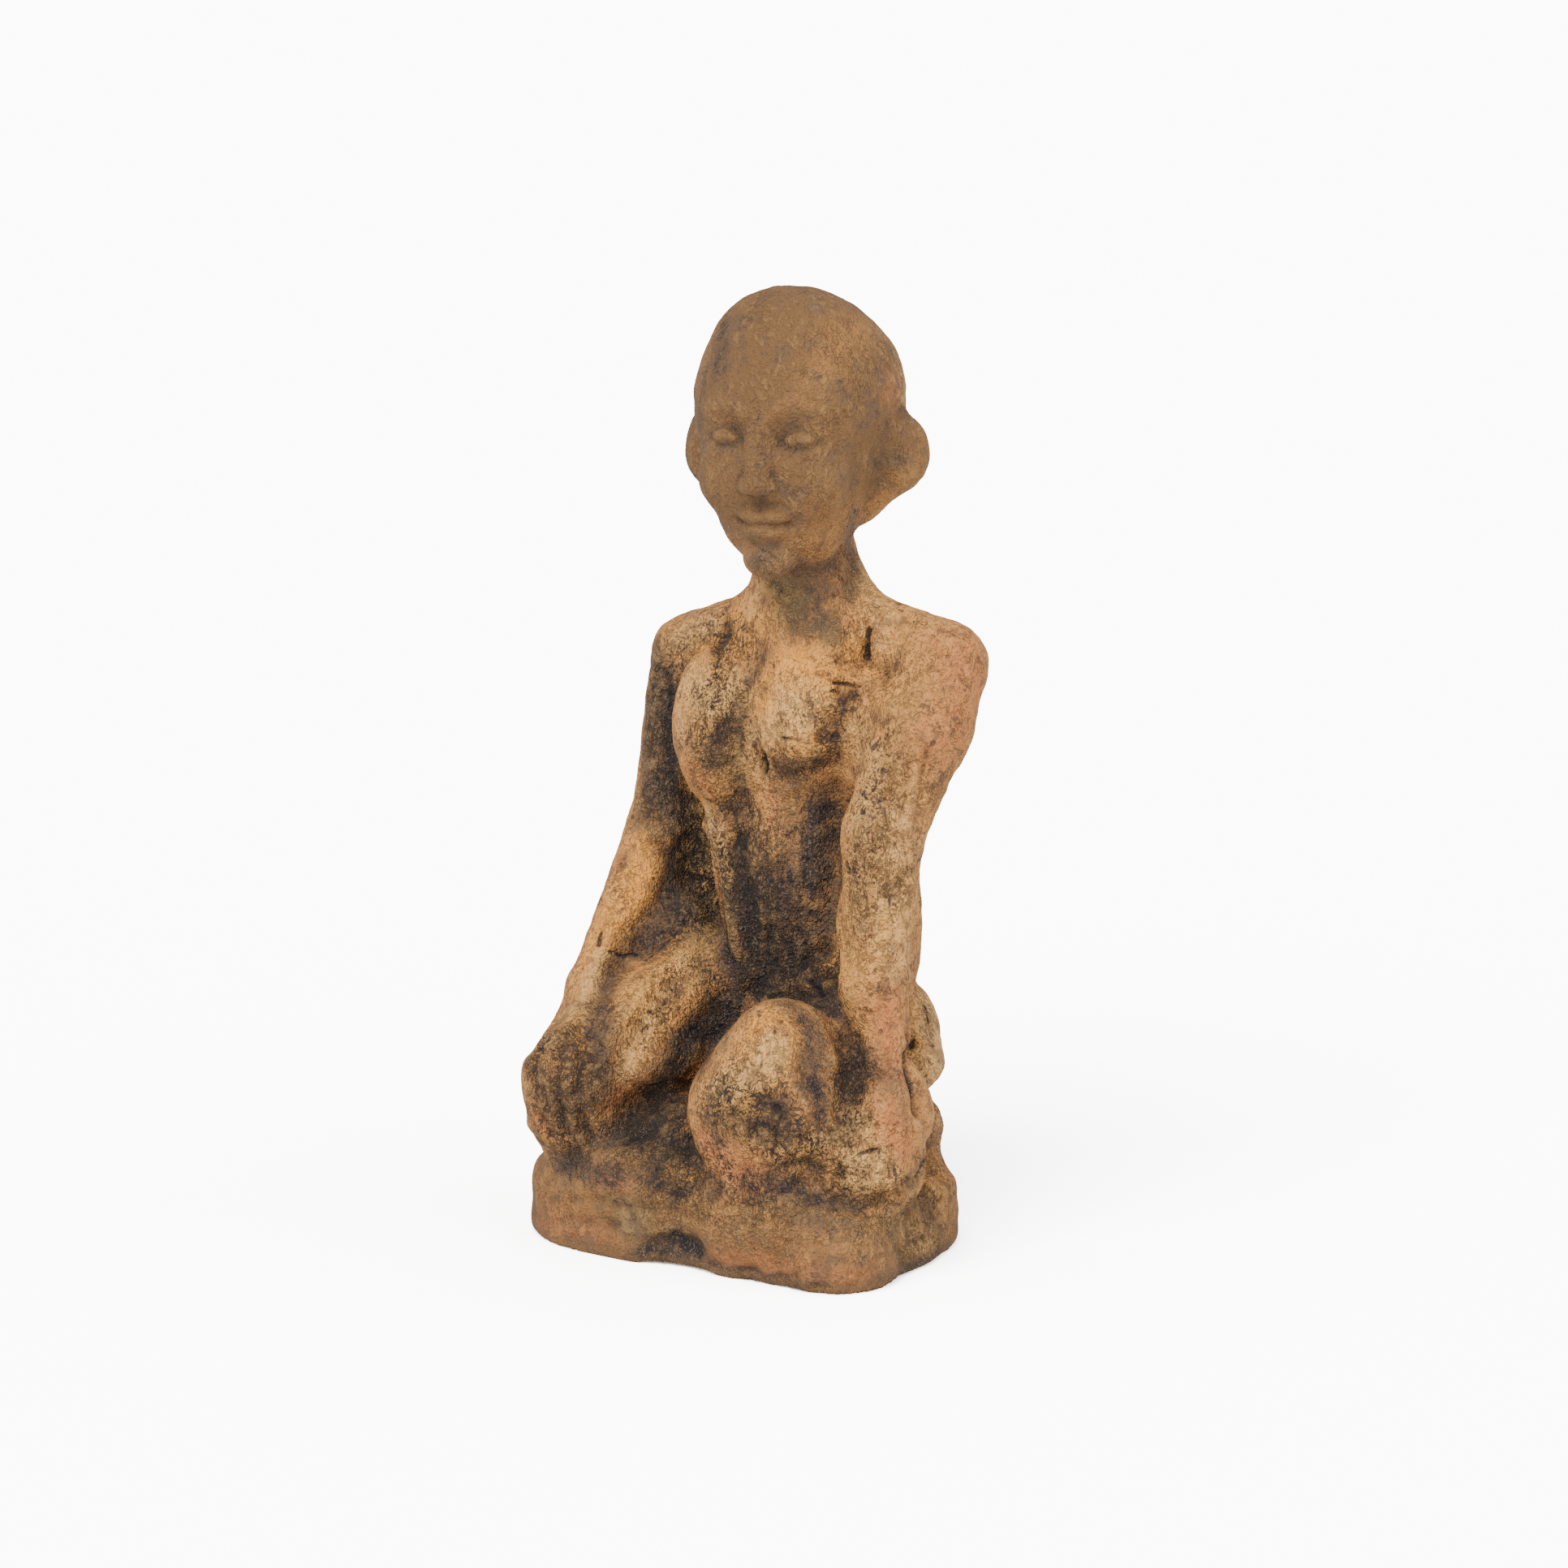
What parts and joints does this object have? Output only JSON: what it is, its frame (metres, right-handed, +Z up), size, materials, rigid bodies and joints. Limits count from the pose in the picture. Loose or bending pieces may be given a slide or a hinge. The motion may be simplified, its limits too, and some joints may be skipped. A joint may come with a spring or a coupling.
{
  "type": "terracotta fertility idol",
  "caption": "Hand-modelled kneeling terracotta figure with its hands at its knees, fired in one piece with its low slab.",
  "frame": {"origin": "middle of the slab's flat underside", "axes": "+Z up through the head, -Y the way the figure faces, +X towards the figure's left hand"},
  "size_m": [0.0688, 0.0539, 0.1467],
  "materials": {
    "terracotta": "matt unglazed fired clay, scuffed and smoke-stained"
  },
  "bodies": {
    "root": {"terracotta_idol": "terracotta"}
  },
  "joints": []
}
